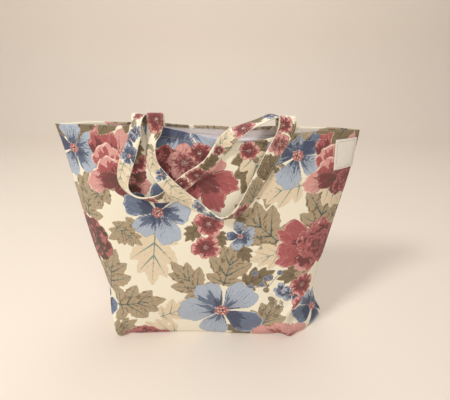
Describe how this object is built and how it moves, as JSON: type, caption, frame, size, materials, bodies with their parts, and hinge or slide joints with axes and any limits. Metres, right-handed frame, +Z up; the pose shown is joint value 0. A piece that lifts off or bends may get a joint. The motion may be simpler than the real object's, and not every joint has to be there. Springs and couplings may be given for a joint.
{
  "type": "cosmetic bag",
  "caption": "Soft zip-top cosmetic bag of printed cotton with a boxed base, draped cloth handles, a closing zip with slider and pull, and a blank sewn label.",
  "frame": {"origin": "centre of the base, on the surface that the bag stands on", "axes": "+Z up, +X along the zip to the viewer's right, -Y the front with the handles and label"},
  "size_m": [0.3302, 0.0803, 0.303],
  "materials": {
    "printed_cotton": "plain-weave printed cotton",
    "strap_cotton": "folded printed cotton",
    "zip_tape": "white woven tape",
    "zip_teeth": "white nylon",
    "slider_metal": "plated zip hardware",
    "label_cotton": "unprinted cotton"
  },
  "bodies": {
    "bag": {"front_panel": "printed_cotton", "back_panel": "printed_cotton", "front_zip_tape": "zip_tape", "back_zip_tape": "zip_tape", "front_zip_teeth": "zip_teeth", "back_zip_teeth": "zip_teeth", "top_stops": "slider_metal", "bottom_stop": "slider_metal", "front_handle": "strap_cotton", "back_handle": "strap_cotton", "label": "label_cotton"},
    "slider": {"zip_slider": "slider_metal"},
    "pull": {"pull_tab": "slider_metal"}
  },
  "joints": [
    {"name": "zip_slide", "type": "slide", "parent": "bag", "child": "slider", "axis": [1, 0, 0], "range_m": [0, 0.226], "deforming": ["front_zip_teeth", "back_zip_teeth"]},
    {"name": "pull_swing", "type": "hinge", "parent": "slider", "child": "pull", "pos_m": [-0.1113, 0, 0.27335], "axis": [0, -1, 0], "range_deg": [0, 150]}
  ]
}
